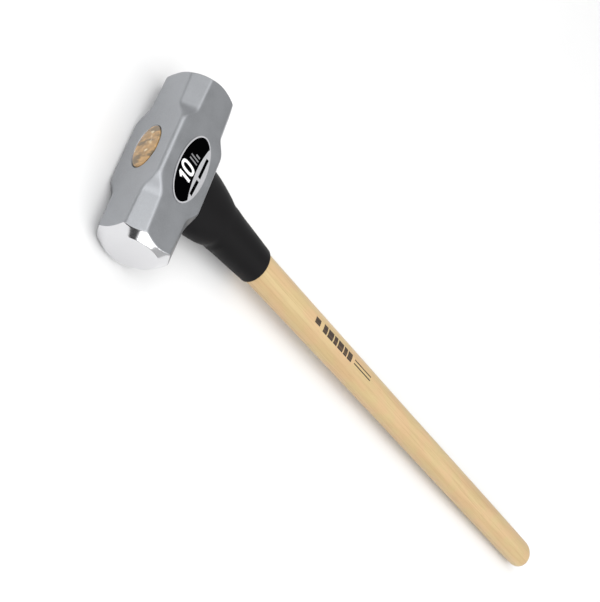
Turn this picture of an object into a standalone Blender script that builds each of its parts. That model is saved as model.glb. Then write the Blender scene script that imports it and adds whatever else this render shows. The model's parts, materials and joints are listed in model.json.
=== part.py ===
"""Double-faced sledge hammer: 10 lb forged head, 36 in oval wooden handle, rubber overstrike sleeve.

The hammer is drawn in its own frame and then laid on its side, the way it rests on a bench:
    +X  from the head towards the butt of the handle
     Y  the striking axis, with a polished face at each end of the head
    +Z  out of the upper cheek, which carries the oval label
The hammer's own origin is the middle of the head.
"""

import math

import bmesh
import bpy
from mathutils import Matrix, Vector

MM = 0.001

# Driving dimensions
OVERALL_LENGTH = 906 * MM       # top of the head to the butt
HEAD_LENGTH = 189 * MM          # face to face
HEAD_DEPTH = 63.6 * MM          # along the handle
HEAD_WIDTH = 59.4 * MM          # cheek to cheek
NECK_CHAMFER = (12.8 * MM, 14.4 * MM)   # leg of the octagon's corner flats, at the boss and at the face
BOSS_RIDGE = 3.2 * MM           # leg of the narrow bevel along the boss
BOSS_HALF = 29.2 * MM           # the boss ends here, and the leaf-shaped flats begin
LEAF_BLEND = 21 * MM            # the flats reach their full width over this length

# Polished ends, a turned shape
FACE_FLAT_RADIUS = 10 * MM
FACE_CROWN_RADIUS = 375 * MM
SHOULDER_RADIUS = 11.5 * MM
SHOULDER_CENTRE = 24.6 * MM     # distance of the shoulder arc's centre from the striking axis
CONE_ANGLE = math.radians(64)   # between the cone's normal and the striking axis
TURNED_RADIUS = 46 * MM         # clears the boss's corners

# Eye, wider at both mouths than at its waist
EYE_TOP = (23.8 * MM, 12.9 * MM)
EYE_WAIST = (22.0 * MM, 11.4 * MM)
EYE_BOTTOM = (23.0 * MM, 12.2 * MM)
EYE_WAIST_X = 6 * MM
EYE_COUNTERSINK = 1.0 * MM

# Wedging
GAP = 0.3 * MM                  # left between pieces that touch
WOOD_RECESS = 1.0 * MM          # wood end below the top of the head
SEAL_RISE = 1.6 * MM            # crown of the resin above the top of the head
KERF_DEPTH = 50 * MM
WOOD_WEDGE = (5.0 * MM, 1.0 * MM, 44 * MM)      # top thickness, tip thickness, length
STEEL_WEDGE = (3.2 * MM, 0.8 * MM, 26 * MM)     # top thickness, tip thickness, length
STEEL_WEDGE_WIDTH = 19 * MM
STEEL_WEDGE_OFFSET = 6.2 * MM   # each side of the middle, along the striking axis
STEEL_WEDGE_TURN = math.radians(30)

# Handle below the eye: distance from the middle of the head, half width along Y, half width along Z
HANDLE_STATIONS = (
    (33 * MM, 22.8 * MM, 12.6 * MM),
    (45 * MM, 22.9 * MM, 14.4 * MM),
    (70 * MM, 21.9 * MM, 15.5 * MM),
    (105 * MM, 19.9 * MM, 15.8 * MM),
    (160 * MM, 18.9 * MM, 15.6 * MM),
    (300 * MM, 18.7 * MM, 15.4 * MM),
    (450 * MM, 18.6 * MM, 15.4 * MM),
    (650 * MM, 19.2 * MM, 15.9 * MM),
    (800 * MM, 19.4 * MM, 16.1 * MM),
    (862 * MM, 19.3 * MM, 16.0 * MM),
)
BUTT_CROWN = 21 * MM            # length of the rounded butt
BUTT_POWER = 2.3                # above 2 the butt is flatter than an ellipsoid

# Overstrike sleeve: distance from the middle of the head, half width along Y, half width along Z
SLEEVE_STATIONS = (
    (32.2 * MM, 37.8 * MM, 22.3 * MM),
    (52 * MM, 36.2 * MM, 21.9 * MM),
    (68 * MM, 32.4 * MM, 21.4 * MM),
    (77 * MM, 29.2 * MM, 21.0 * MM),
    (83 * MM, 27.0 * MM, 20.6 * MM),
    (89 * MM, 26.2 * MM, 20.3 * MM),
    (100 * MM, 24.8 * MM, 19.8 * MM),
    (122 * MM, 23.2 * MM, 19.0 * MM),
    (149.6 * MM, 21.2 * MM, 17.9 * MM),
)
SLEEVE_LIP = 1.4 * MM           # rounding of the sleeve's lower rim

# Oval label on the upper cheek
LABEL_HALF = (37.0 * MM, 18.2 * MM)             # along Y, along X
LABEL_CENTRE = (1.4 * MM, -3.8 * MM)
LABEL_TURN = math.radians(-3.9)
LABEL_THICKNESS = 0.4 * MM

ROUND_SEGMENTS = 48
TURNED_SEGMENTS = 72

HEAD_TOP = -HEAD_DEPTH / 2
HEAD_UNDERSIDE = HEAD_DEPTH / 2
BUTT_END = HEAD_TOP + OVERALL_LENGTH
WOOD_END = HEAD_TOP + WOOD_RECESS


def clear_scene():
    """Remove what the file opens with."""
    for obj in list(bpy.data.objects):
        bpy.data.objects.remove(obj, do_unlink=True)


def new_collection(name):
    collection = bpy.data.collections.new(name)
    bpy.context.scene.collection.children.link(collection)
    return collection


def principled(name, colour, roughness, metallic=0.0):
    material = bpy.data.materials.new(name)
    material.use_nodes = True
    shader = material.node_tree.nodes["Principled BSDF"]
    shader.inputs["Base Color"].default_value = (*colour, 1.0)
    shader.inputs["Roughness"].default_value = roughness
    shader.inputs["Metallic"].default_value = metallic
    return material


def add_object(name, mesh, collection, parent, material=None):
    obj = bpy.data.objects.new(name, mesh)
    collection.objects.link(obj)
    obj.parent = parent
    if material is not None:
        mesh.materials.append(material)
    return obj


def make_cutter(obj):
    """Show a guide or cutter as wire only."""
    obj.hide_render = True
    obj.display_type = 'WIRE'
    return obj


def add_boolean(obj, operation, other):
    modifier = obj.modifiers.new(other.name, 'BOOLEAN')
    modifier.operation = operation
    modifier.solver = 'EXACT'
    modifier.object = other


def shade_round(mesh, angle):
    mesh.shade_smooth()
    mesh.set_sharp_from_angle(angle=math.radians(angle))


def smoothstep(value):
    value = min(max(value, 0.0), 1.0)
    return value * value * (3 - 2 * value)


def read_stations(stations, x):
    """Half widths at x, on a smooth curve through the stations."""
    last = len(stations) - 1
    index = 0
    while index < last - 1 and x > stations[index + 1][0]:
        index += 1

    def slope(i, column):
        low, high = max(i - 1, 0), min(i + 1, last)
        rise = stations[high][column] - stations[low][column]
        return rise / (stations[high][0] - stations[low][0])

    x0, x1 = stations[index][0], stations[index + 1][0]
    span = x1 - x0
    t = min(max((x - x0) / span, 0.0), 1.0)
    widths = []
    for column in (1, 2):
        start, end = stations[index][column], stations[index + 1][column]
        widths.append(
            (2 * t**3 - 3 * t**2 + 1) * start
            + (t**3 - 2 * t**2 + t) * span * slope(index, column)
            + (3 * t**2 - 2 * t**3) * end
            + (t**3 - t**2) * span * slope(index + 1, column)
        )
    return widths


def oval_ring(x, half_y, half_z):
    """Points of an oval that stands across the handle's axis at x."""
    ring = []
    for index in range(ROUND_SEGMENTS):
        angle = 2 * math.pi * index / ROUND_SEGMENTS
        ring.append(Vector((x, half_y * math.cos(angle), half_z * math.sin(angle))))
    return ring


def loft(name, rings, joined=False):
    """Skin a stack of rings with equal counts; joined makes a tube, or else the two ends are capped."""
    bm = bmesh.new()
    loops = [[bm.verts.new(point) for point in ring] for ring in rings]
    pairs = list(zip(loops, loops[1:]))
    if joined:
        pairs.append((loops[-1], loops[0]))
    else:
        bm.faces.new(loops[0])
        bm.faces.new(loops[-1])
    for lower, upper in pairs:
        count = len(lower)
        for i in range(count):
            j = (i + 1) % count
            bm.faces.new((lower[i], lower[j], upper[j], upper[i]))
    bmesh.ops.recalc_face_normals(bm, faces=bm.faces)
    if bm.calc_volume(signed=True) < 0:
        bmesh.ops.reverse_faces(bm, faces=bm.faces)
    mesh = bpy.data.meshes.new(name)
    bm.to_mesh(mesh)
    bm.free()
    return mesh


def tapered_prism(name, thickness, tip, length, width, top_x):
    """Wedge pointing along +X: its thickness runs along Z and its width along Y."""
    rings = []
    for x, half in ((top_x, thickness / 2), (top_x + length, tip / 2)):
        rings.append([
            Vector((x, -width / 2, -half)),
            Vector((x, width / 2, -half)),
            Vector((x, width / 2, half)),
            Vector((x, -width / 2, half)),
        ])
    return loft(name, rings)


def eye_half_widths(x, clearance=0.0):
    """The eye narrows on a smooth curve from each mouth to its waist."""
    if x < EYE_WAIST_X:
        mouth, reach = EYE_TOP, EYE_WAIST_X - HEAD_TOP
    else:
        mouth, reach = EYE_BOTTOM, HEAD_UNDERSIDE - EYE_WAIST_X
    t = smoothstep(abs(x - EYE_WAIST_X) / reach)
    return [waist + (wide - waist) * t - clearance for waist, wide in zip(EYE_WAIST, mouth)]


def eye_positions(start, end, count):
    return [start + (end - start) * i / (count - 1) for i in range(count)]


def head_chamfer(y):
    """Leg of the corner flats: a narrow ridge bevel on the boss, wide flats on the necks."""
    neck_start = BOSS_HALF + LEAF_BLEND
    at_boss, at_face = NECK_CHAMFER
    if abs(y) < neck_start:
        t = smoothstep((abs(y) - BOSS_HALF) / LEAF_BLEND)
        return BOSS_RIDGE + (at_boss - BOSS_RIDGE) * t
    return at_boss + (at_face - at_boss) * (abs(y) - neck_start) / (HEAD_LENGTH / 2 - neck_start)


def head_ring(y):
    """Rectangle across the striking axis with its four corners cut off."""
    half_x, half_z = HEAD_DEPTH / 2, HEAD_WIDTH / 2
    leg = head_chamfer(y)
    corners = []
    for sign_x, sign_z in ((1, 1), (-1, 1), (-1, -1), (1, -1)):
        on_x = Vector((sign_x * half_x, y, sign_z * (half_z - leg)))
        on_z = Vector((sign_x * (half_x - leg), y, sign_z * half_z))
        corners += [on_x, on_z] if sign_x == sign_z else [on_z, on_x]
    return corners


def turned_profile():
    """Radius and distance along the striking axis, from the middle of a face out to the full radius."""
    half = HEAD_LENGTH / 2

    def crown(radius):
        return half - (radius**2 - FACE_FLAT_RADIUS**2) / (2 * FACE_CROWN_RADIUS)

    start = math.asin(SHOULDER_CENTRE / FACE_CROWN_RADIUS)
    radius = SHOULDER_CENTRE + SHOULDER_RADIUS * math.sin(start)
    centre = crown(radius) - SHOULDER_RADIUS * math.cos(start)
    points = [(0.0, half), (FACE_FLAT_RADIUS, half)]
    points += [(r, crown(r)) for r in (15 * MM, 20 * MM)]
    steps = 5
    for i in range(steps):
        angle = start + (CONE_ANGLE - start) * i / (steps - 1)
        points.append((
            SHOULDER_CENTRE + SHOULDER_RADIUS * math.sin(angle),
            centre + SHOULDER_RADIUS * math.cos(angle),
        ))
    reach = TURNED_RADIUS - points[-1][0]
    points.append((TURNED_RADIUS, points[-1][1] - reach * math.tan(CONE_ANGLE)))
    return points


def build_turned_envelope(collection, parent):
    """The shape that turning gives both ends of the head, as a solid of revolution."""
    upper = turned_profile()
    outline = upper + [(radius, -along) for radius, along in reversed(upper)]
    mesh = bpy.data.meshes.new("turned_ends")
    vertices = [(radius, 0.0, along) for radius, along in outline]
    edges = [(i, i + 1) for i in range(len(outline) - 1)]
    mesh.from_pydata(vertices, edges, [])
    obj = add_object("turned_ends", mesh, collection, parent)
    obj.rotation_euler.x = math.radians(90)
    screw = obj.modifiers.new("turn", 'SCREW')
    screw.steps = TURNED_SEGMENTS
    screw.render_steps = TURNED_SEGMENTS
    screw.use_merge_vertices = True
    screw.merge_threshold = 0.00001
    return make_cutter(obj)


def build_eye_cutter(collection, parent):
    """The eye with its countersunk upper mouth, running past both faces of the head."""
    beyond = 2 * MM
    rings = []
    mouth = [half + EYE_COUNTERSINK for half in eye_half_widths(HEAD_TOP)]
    rings.append(oval_ring(HEAD_TOP - beyond, *[half + beyond for half in mouth]))
    for x in eye_positions(HEAD_TOP + EYE_COUNTERSINK, HEAD_UNDERSIDE, 10):
        rings.append(oval_ring(x, *eye_half_widths(x)))
    rings.append(oval_ring(HEAD_UNDERSIDE + beyond, *eye_half_widths(HEAD_UNDERSIDE)))
    return make_cutter(add_object("eye_cutter", loft("eye_cutter", rings), collection, parent))


def build_head(collection, cutters, parent):
    leaf_steps = 8
    neck_end = HEAD_LENGTH / 2 + 1 * MM
    side = [BOSS_HALF + LEAF_BLEND * i / leaf_steps for i in range(leaf_steps + 1)] + [neck_end]
    places = [-y for y in reversed(side)] + side
    mesh = loft("hammer_head", [head_ring(y) for y in places])
    steel = principled("forged_steel", (0.42, 0.43, 0.45), 0.38, 1.0)
    head = add_object("hammer_head", mesh, collection, parent, steel)
    add_boolean(head, 'INTERSECT', build_turned_envelope(cutters, parent))
    add_boolean(head, 'DIFFERENCE', build_eye_cutter(cutters, parent))
    return head


def handle_rings():
    """Rings from the wedged end in the eye to the crown of the butt."""
    rings = []
    for x in eye_positions(WOOD_END, HEAD_UNDERSIDE, 9):
        rings.append(oval_ring(x, *eye_half_widths(x, GAP)))
    crown_start = BUTT_END - BUTT_CROWN
    places = [33, 39, 45, 57, 70, 87, 105, 130, 160, 230, 300, 375, 450, 550, 650, 725, 800, 840]
    for x in [place * MM for place in places] + [crown_start]:
        rings.append(oval_ring(x, *read_stations(HANDLE_STATIONS, x)))
    half_y, half_z = read_stations(HANDLE_STATIONS, crown_start)
    steps = 8
    for i in range(1, steps + 1):
        along = math.sin(math.pi / 2 * i / (steps + 1))
        scale = (1 - along**BUTT_POWER) ** (1 / BUTT_POWER)
        rings.append(oval_ring(crown_start + BUTT_CROWN * along, half_y * scale, half_z * scale))
    rings.append(oval_ring(BUTT_END, half_y * 0.12, half_z * 0.12))
    return rings


def place_steel_wedge(side):
    """Turn and shift that set a steel wedge across the wooden one, to one side of the middle."""
    shift = Matrix.Translation((0, side * STEEL_WEDGE_OFFSET, 0))
    across = Matrix.Rotation(math.radians(90) + STEEL_WEDGE_TURN, 4, 'X')
    return shift @ across


def build_handle(collection, cutters, parent):
    """The wooden handle, sawn for the wooden wedge and split by the two steel ones."""
    above = 5 * MM
    thickness, tip, _ = WOOD_WEDGE
    taper = (thickness - tip) / KERF_DEPTH
    kerf_mesh = tapered_prism(
        "kerf", thickness + 2 * GAP + above * taper, tip + 2 * GAP,
        KERF_DEPTH + above, 2 * EYE_TOP[0] + above, WOOD_END - above)
    kerf = make_cutter(add_object("kerf", kerf_mesh, cutters, parent))
    wood = principled("hickory", (0.78, 0.60, 0.38), 0.45)
    handle = add_object("handle", loft("handle", handle_rings()), collection, parent, wood)
    add_boolean(handle, 'DIFFERENCE', kerf)

    wedge_mesh = loft("wood_wedge", [
        oval_ring(x, *eye_half_widths(x, GAP))
        for x in eye_positions(WOOD_END, WOOD_END + WOOD_WEDGE[2], 7)
    ])
    slab_mesh = tapered_prism(
        "wood_wedge_slab", thickness + above * taper, tip, WOOD_WEDGE[2] + above,
        2 * EYE_TOP[0] + above, WOOD_END - above)
    slab = make_cutter(add_object("wood_wedge_slab", slab_mesh, cutters, parent))
    poplar = principled("wedge_wood", (0.62, 0.46, 0.28), 0.55)
    wood_wedge = add_object("wood_wedge", wedge_mesh, collection, parent, poplar)
    add_boolean(wood_wedge, 'INTERSECT', slab)

    steel = principled("wedge_steel", (0.30, 0.29, 0.28), 0.50, 1.0)
    thickness, tip, length = STEEL_WEDGE
    taper = (thickness - tip) / length
    for name, side in (("steel_wedge_front", -1), ("steel_wedge_rear", 1)):
        wedge_mesh = tapered_prism(name, thickness, tip, length, STEEL_WEDGE_WIDTH, WOOD_END)
        wedge_mesh.transform(place_steel_wedge(side))
        add_object(name, wedge_mesh, collection, parent, steel)
        slot_mesh = tapered_prism(
            name + "_slot", thickness + 2 * GAP + above * taper, tip + 2 * GAP,
            length + GAP + above, STEEL_WEDGE_WIDTH + 2 * GAP, WOOD_END - above)
        slot_mesh.transform(place_steel_wedge(side))
        slot = make_cutter(add_object(name + "_slot", slot_mesh, cutters, parent))
        add_boolean(handle, 'DIFFERENCE', slot)
        add_boolean(wood_wedge, 'DIFFERENCE', slot)
    shade_round(handle.data, 40)


def build_seal(collection, parent):
    """The bead of clear amber resin that fills the mouth of the eye over the wedged wood."""
    half_y, half_z = eye_half_widths(HEAD_TOP, GAP)
    rings = [oval_ring(WOOD_END - GAP, *eye_half_widths(WOOD_END, GAP)), oval_ring(HEAD_TOP, half_y, half_z)]
    steps = 6
    for i in range(1, steps + 1):
        angle = math.pi / 2 * i / (steps + 0.4)
        scale = math.cos(angle) ** 0.8
        rings.append(oval_ring(HEAD_TOP - SEAL_RISE * math.sin(angle), half_y * scale, half_z * scale))
    resin = principled("amber_resin", (0.66, 0.40, 0.14), 0.12)
    seal = add_object("resin_seal", loft("resin_seal", rings), collection, parent, resin)
    shade_round(seal.data, 40)


def build_sleeve(collection, parent):
    """A rubber tube that flares towards the head and steps in under its side pads."""
    upper, start = SLEEVE_STATIONS[0][0], SLEEVE_STATIONS[-1][0]
    outer = []
    places = [place * MM for place in (42, 52, 60, 68, 73, 77, 80, 83, 86, 89, 94, 100, 110, 122, 135)]
    for x in [upper] + places + [start]:
        outer.append(oval_ring(x, *read_stations(SLEEVE_STATIONS, x)))
    widths = read_stations(SLEEVE_STATIONS, start)
    for degrees in (30, 60, 90):
        angle = math.radians(degrees)
        inset = SLEEVE_LIP * (1 - math.cos(angle))
        outer.append(oval_ring(start + SLEEVE_LIP * math.sin(angle), *[half - inset for half in widths]))
    inner = []
    places = [place * MM for place in (130, 105, 87, 70, 57, 45, 39)]
    for x in [start + SLEEVE_LIP] + places + [upper]:
        inner.append(oval_ring(x, *[half + GAP for half in read_stations(HANDLE_STATIONS, x)]))
    rubber = principled("black_rubber", (0.02, 0.02, 0.022), 0.55)
    mesh = loft("overstrike_sleeve", outer + inner, joined=True)
    sleeve = add_object("overstrike_sleeve", mesh, collection, parent, rubber)
    shade_round(sleeve.data, 40)


def build_label(collection, parent):
    """Thin oval plate on the upper cheek."""
    curve = bpy.data.curves.new("cheek_label", 'CURVE')
    curve.dimensions = '2D'
    curve.fill_mode = 'BOTH'
    curve.extrude = LABEL_THICKNESS / 2
    spline = curve.splines.new('POLY')
    spline.points.add(ROUND_SEGMENTS - 1)
    for index, point in enumerate(spline.points):
        angle = 2 * math.pi * index / ROUND_SEGMENTS
        point.co = (LABEL_HALF[1] * math.cos(angle), LABEL_HALF[0] * math.sin(angle), 0, 1)
    spline.use_cyclic_u = True
    label = bpy.data.objects.new("cheek_label", curve)
    collection.objects.link(label)
    label.parent = parent
    label.location = (*LABEL_CENTRE, HEAD_WIDTH / 2 + GAP + LABEL_THICKNESS / 2)
    label.rotation_euler.z = LABEL_TURN
    curve.materials.append(principled("label_face", (0.02, 0.02, 0.02), 0.30))


def lay_angle():
    """Tilt about Y at which the butt meets the floor while the head rests on its cheek's lower edge."""
    edge_x = HEAD_UNDERSIDE - BOSS_RIDGE
    tilts = []
    for ring in handle_rings():
        x, half_z = ring[0].x, max(point.z for point in ring)
        if x > OVERALL_LENGTH / 2:
            tilts.append(math.atan((HEAD_WIDTH / 2 - half_z) / (x - edge_x)))
    return min(tilts)


def lay_down(hammer, collection):
    """Tilt the hammer and stand its box on the floor with the origin under the box's middle."""
    hammer.rotation_euler.y = lay_angle()
    bpy.context.view_layer.update()
    graph = bpy.context.evaluated_depsgraph_get()
    points = []
    for obj in collection.objects:
        evaluated = obj.evaluated_get(graph)
        mesh = evaluated.to_mesh()
        points += [evaluated.matrix_world @ vertex.co for vertex in mesh.vertices]
        evaluated.to_mesh_clear()
    low = [min(point[axis] for point in points) for axis in range(3)]
    high = [max(point[axis] for point in points) for axis in range(3)]
    hammer.location = (-(low[0] + high[0]) / 2, -(low[1] + high[1]) / 2, -low[2])


def main():
    clear_scene()
    parts = new_collection("sledge_hammer")
    cutters = new_collection("cutters")
    hammer = bpy.data.objects.new("hammer_axis", None)
    bpy.context.scene.collection.objects.link(hammer)
    build_head(parts, cutters, hammer)
    build_handle(parts, cutters, hammer)
    build_seal(parts, hammer)
    build_sleeve(parts, hammer)
    build_label(parts, hammer)
    lay_down(hammer, parts)


main()
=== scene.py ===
"""Double-faced sledge hammer: forged head, wedged wooden handle and rubber overstrike sleeve.

Each piece is drawn in the hammer's own frame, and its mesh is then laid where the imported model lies:
    +X  from the head towards the butt of the handle
     Y  the striking axis
    +Z  out of the upper cheek, which carries the label
The hammer's own origin is the middle of the head.
"""

import json
import math

import bmesh
import bpy
from bpy.props import FloatProperty, FloatVectorProperty, IntProperty, PointerProperty
from bpy.types import Operator, Panel, PropertyGroup
from mathutils import Matrix, Vector, noise


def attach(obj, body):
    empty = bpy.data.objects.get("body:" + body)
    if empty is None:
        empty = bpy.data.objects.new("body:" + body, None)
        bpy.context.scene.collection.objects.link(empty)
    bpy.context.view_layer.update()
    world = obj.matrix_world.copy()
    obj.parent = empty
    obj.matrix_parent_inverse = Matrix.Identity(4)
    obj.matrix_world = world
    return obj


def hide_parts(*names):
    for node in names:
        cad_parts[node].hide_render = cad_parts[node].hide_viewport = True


bl_info = {
    "name": "Sledge hammer",
    "version": (1, 0, 0),
    "blender": (4, 5, 0),
    "location": "View3D > Sidebar > Hammer",
    "description": "Builds a double-faced sledge hammer round its packed model",
    "category": "Object",
}

MM = 0.001
WELD = 0.001 * MM           # corners nearer than this are one
RING_SLACK = 0.1 * MM       # how far a ring of corners may lie from its place
BODY = "root"

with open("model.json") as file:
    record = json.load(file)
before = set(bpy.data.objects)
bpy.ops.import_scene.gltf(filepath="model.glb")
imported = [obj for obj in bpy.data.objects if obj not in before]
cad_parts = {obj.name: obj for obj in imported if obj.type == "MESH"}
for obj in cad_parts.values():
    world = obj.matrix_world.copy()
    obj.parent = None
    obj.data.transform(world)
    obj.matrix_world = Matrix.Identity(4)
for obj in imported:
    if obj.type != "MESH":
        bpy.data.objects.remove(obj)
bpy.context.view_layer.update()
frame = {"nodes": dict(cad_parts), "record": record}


def hammer_frame():
    """The hammer's own frame in the row frame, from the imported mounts."""
    mounts = {mount["name"]: mount for mount in frame["record"]["mounts"]}
    front = Vector(mounts["striking_face_front"]["pos_m"])
    rear = Vector(mounts["striking_face_rear"]["pos_m"])
    along = Vector(mounts["rack_seat_front"]["axis"])
    down = Vector(mounts["lower_cheek"]["axis"])
    place = Matrix((along, -down.cross(along), -down)).transposed().to_4x4()
    place.translation = (front + rear) / 2
    return place


HAMMER = hammer_frame()
INTO_HAMMER = HAMMER.inverted()
LAY_TILT = -math.asin(HAMMER[2][0])     # how far the handle dips towards the butt


def node_points(node):
    """A CAD node's corners in the hammer's own frame."""
    return [INTO_HAMMER @ vertex.co for vertex in frame["nodes"][node].data.vertices]


def node_box(node):
    """Lowest and highest corner of a CAD node in the hammer's own frame."""
    points = node_points(node)
    low = Vector([min(point[axis] for point in points) for axis in range(3)])
    high = Vector([max(point[axis] for point in points) for axis in range(3)])
    return low, high


def node_outline(node, start, step=0.05 * MM):
    """Half widths of a CAD node's rings beyond start: (x, half width along Y, half width along Z)."""
    rings = {}
    for point in node_points(node):
        if point.x > start:
            rings.setdefault(round(point.x / step), []).append(point)
    outline = []
    for _, ring in sorted(rings.items()):
        x = sum(point.x for point in ring) / len(ring)
        outline.append((x, max(abs(point.y) for point in ring), max(abs(point.z) for point in ring)))
    return outline


HEAD_LOW, HEAD_HIGH = node_box("hammer_head")
HEAD_LENGTH = HEAD_HIGH.y - HEAD_LOW.y
HEAD_TOP = HEAD_LOW.x
HEAD_UNDERSIDE = HEAD_HIGH.x
CHEEK = HEAD_HIGH.z
WOOD_END = node_box("wood_wedge")[0].x
BUTT_END = node_box("handle")[1].x
HANDLE_OUTLINE = node_outline("handle", HEAD_UNDERSIDE + 1 * MM)
SLEEVE_LOW, SLEEVE_HIGH = node_box("overstrike_sleeve")
SEAL_TOP = node_box("resin_seal")[0].x
LABEL_LOW, LABEL_HIGH = node_box("cheek_label")
WEDGES = ("wood_wedge", "steel_wedge_front", "steel_wedge_rear")
BLACK, SILVER, WHITE, GREY = range(4)       # slots of the label's inks


# ---------------------------------------------------------------- settings


def number(name, description, default):
    return FloatProperty(name=name, description=description, default=default)


def length(name, description, default, precision=3):
    return FloatProperty(
        name=name, description=description, default=default, unit='LENGTH', precision=precision)


def lengths(name, description, default):
    return FloatVectorProperty(
        name=name, description=description, default=default, size=len(default), subtype='XYZ_LENGTH')


def angle(name, description, degrees):
    return FloatProperty(
        name=name, description=description, default=math.radians(degrees), subtype='ANGLE')


def direction(name, description, default):
    return FloatVectorProperty(name=name, description=description, default=default, subtype='DIRECTION')


def colour(name, description, default):
    return FloatVectorProperty(
        name=name, description=description, default=default, subtype='COLOR', min=0, max=1)


class HeadSettings(PropertyGroup):
    boss_half: length(
        "Boss half length", "The boss round the eye ends here and the leaf flats begin", 27.6 * MM)
    leaf_blend: length("Leaf blend", "The leaf flats reach their full width over this length", 25 * MM)
    boss_ridge: length("Boss ridge", "Leg of the narrow bevel along the boss", 3.2 * MM)
    neck_flat: length("Neck flat", "Leg of the corner flats where they leave the boss", 13.6 * MM)
    face_flat: length("Face flat", "Leg of the corner flats at the striking faces", 15.2 * MM)
    face_middle: length("Face middle", "Radius of the flat middle of a striking face", 10 * MM)
    face_crown: length("Face crown", "Radius of a striking face's crown", 375 * MM)
    shoulder_radius: length("Shoulder radius", "Radius of the rolled edge of a striking face", 3 * MM)
    shoulder_centre: length(
        "Shoulder centre", "From the striking axis to the centre of the rolled edge", 23.6 * MM)
    cone_angle: angle("Cone angle", "Between the striking axis and the normal of the turned cone", 40)
    turned_radius: length("Turned radius", "Radius of the turned blank before the flats are forged", 46 * MM)
    ridge_softness: length("Ridge softness", "Over this much the forged flats run into each other", 1.5 * MM)
    rim_softness: length("Rim softness", "Over this much the turned ends run into the forged flats", 0.5 * MM)
    polish_step: length("Polish step", "Over this much the ground ends turn into the satin body", 1.2 * MM)
    polish_waver: length("Polish waver", "How far that border wanders", 0.3 * MM)
    turn_steps: IntProperty(
        name="Turning steps", description="Faces round the head", default=240, min=48)
    satin_colour: colour("Satin steel", "Colour of the forged body", (0.345, 0.355, 0.372))
    polished_colour: colour("Polished steel", "Colour of the ground striking ends", (0.71, 0.71, 0.725))


class HandleSettings(PropertyGroup):
    eye_top: lengths("Eye top", "Half widths of the eye at the top of the head", (23.8 * MM, 12.9 * MM))
    eye_waist: lengths("Eye waist", "Half widths of the eye at its narrowest", (22.0 * MM, 11.4 * MM))
    eye_bottom: lengths(
        "Eye bottom", "Half widths of the eye at the underside of the head", (23.0 * MM, 12.2 * MM))
    eye_waist_place: length("Eye waist place", "The waist lies this far below the middle of the head", 6 * MM)
    countersink: length("Countersink", "Bevel round the upper mouth of the eye", 1 * MM)
    fit_gap: length("Fit gap", "Left between the eye and the wood", 0.3 * MM)
    neck_end: length("Neck end", "The handle is ringed more closely from the head to here", 160 * MM)
    butt_crown: length("Butt crown", "Length of the rounded butt", 21 * MM)
    butt_power: number("Butt flatness", "Above 2 the butt is flatter than an ellipsoid", 2.3)
    wood_colour: colour("Wood", "Colour of the sapwood", (0.56, 0.427, 0.216))
    blotch_colour: colour("Blotch", "Colour of the pinker patches of the wood", (0.585, 0.403, 0.218))
    grain_colour: colour("Grain", "Colour of the darker grain lines", (0.41, 0.265, 0.12))
    print_colour: colour("Print", "Colour of the printed marks", (0.045, 0.03, 0.022))
    print_start: length(
        "Print start", "The printed marks begin this far below the middle of the head", 249 * MM)
    print_middle: length("Print middle", "Line of the printed marks, along the striking axis", -0.9 * MM)
    print_half: length("Print half height", "Of the tallest printed marks", 4.6 * MM)
    print_rise: length("Print rise", "Thickness of the ink", 0.03 * MM, precision=5)


class SleeveSettings(PropertyGroup):
    top_rim: length("Top rim", "Rounding of the rim under the head", 0.9 * MM)
    lip: length("Lip", "Rounding of the lower rim", 1.4 * MM)
    pad_end: length("Pad end", "The thicker pads on the striking sides end in a groove here", 83 * MM)
    groove_reach: length("Groove reach", "Half width of that groove", 8 * MM)
    groove_depth: length("Groove depth", "Depth of that groove", 0.5 * MM)
    thinnest_wall: length(
        "Thinnest wall", "Rings of the packed sleeve nearer than this to the handle are its bore", 1.2 * MM)
    rubber_colour: colour("Rubber", "Colour of the rubber", (0.0048, 0.0045, 0.005))


class WedgeSettings(PropertyGroup):
    wedge_wood_colour: colour("Wedge wood", "Colour of the wooden wedge's end grain", (0.60, 0.36, 0.14))
    wedge_steel_colour: colour("Wedge steel", "Colour of the steel wedges", (0.25, 0.24, 0.20))
    resin_colour: colour("Resin", "Colour of the resin in the mouth of the eye", (0.52, 0.30, 0.105))
    resin_dark: colour("Dark resin", "Colour where the wedges show through", (0.17, 0.11, 0.045))
    # Pale resin: a painted glint, put into the resin's colour as pale spots
    resin_glint_paint: colour("Pale resin", "Colour of the painted_glint_spots", (0.80, 0.66, 0.42))
    resin_edge: length("Resin edge", "Gap left between the resin and the eye", 0.3 * MM)


class LabelSettings(PropertyGroup):
    half_length: length("Half length", "Along the striking axis", 37 * MM)
    half_height: length("Half height", "Along the handle", 18.2 * MM)
    turn: angle("Turn", "Of the label on the cheek", -3.9)
    rim: length("Rim", "Width of the pale rim", 1.5 * MM)
    band_radius: length("Band radius", "Radius of the pale band's curved border", 105 * MM)
    band_place: lengths(
        "Band place", "Crown of the band's border, on X and Y from the middle of the head",
        (6.45 * MM, -5 * MM))
    ink_step: length("Ink step", "One layer of print stands this much above the next", 0.03 * MM, precision=5)
    black_colour: colour("Black film", "Ground of the label", (0.0008, 0.0008, 0.001))
    silver_colour: colour("Silver ink", "Rim and band of the label", (0.60, 0.60, 0.62))
    white_colour: colour("White ink", "Figures of the label", (0.86, 0.86, 0.86))
    grey_colour: colour("Grey ink", "Small strokes after the figures", (0.22, 0.22, 0.23))


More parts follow.
